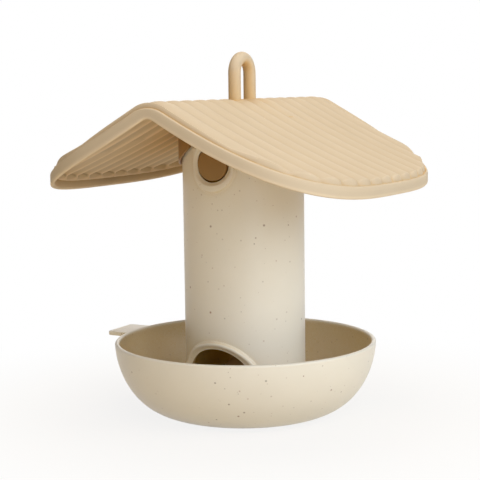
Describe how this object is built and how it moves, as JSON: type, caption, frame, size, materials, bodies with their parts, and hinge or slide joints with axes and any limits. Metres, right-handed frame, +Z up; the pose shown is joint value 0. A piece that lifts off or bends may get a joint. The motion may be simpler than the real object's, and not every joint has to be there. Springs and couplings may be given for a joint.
{
  "type": "silo bird feeder",
  "caption": "Hanging silo bird feeder: a seed tube stands in a round feeding bowl under a gabled, ribbed roof that lifts off when the release buttons are pressed.",
  "frame": {"origin": "centre of the bowl's underside, on the tube's axis", "axes": "+Z up along the tube, +Y along the ridge towards the rear gable; the rim tab is on the -X side"},
  "size_m": [0.2192, 0.2252, 0.2393],
  "materials": {
    "cream_plastic": "satin cream moulding with fine brown and grey flecks",
    "sand_plastic": "matte warm sand moulding",
    "tan_plastic": "matte tan moulding, darker than the roof",
    "screw_steel": "plain stainless steel"
  },
  "bodies": {
    "silo": {"feeding_bowl": "cream_plastic", "silo_tube": "cream_plastic", "seed_cone": "sand_plastic", "base_screws": "screw_steel"},
    "roof": {"roof_shell": "sand_plastic", "roof_collar": "sand_plastic", "roof_screws": "screw_steel", "tongue_screws": "screw_steel", "hanging_loop": "sand_plastic", "loop_screws": "screw_steel", "loop_washers": "screw_steel"},
    "front_latch": {"latch_tongue_front": "tan_plastic"},
    "rear_latch": {"latch_tongue_rear": "tan_plastic"}
  },
  "joints": [
    {"name": "roof_lift", "type": "slide", "parent": "silo", "child": "roof", "axis": [0, 0, 1], "range_m": [0, 0.06], "deforming": ["latch_tongue_front", "latch_tongue_rear"]},
    {"name": "front_button", "type": "hinge", "parent": "roof", "child": "front_latch", "pos_m": [0, -0.035, 0.1943], "axis": [1, 0, 0], "range_deg": [0, 11], "stiffness_Nm_per_rad": 1, "deforming": ["latch_tongue_front"]},
    {"name": "rear_button", "type": "hinge", "parent": "roof", "child": "rear_latch", "pos_m": [0, 0.035, 0.1943], "axis": [-1, 0, 0], "range_deg": [0, 11], "stiffness_Nm_per_rad": 1, "deforming": ["latch_tongue_rear"]}
  ]
}
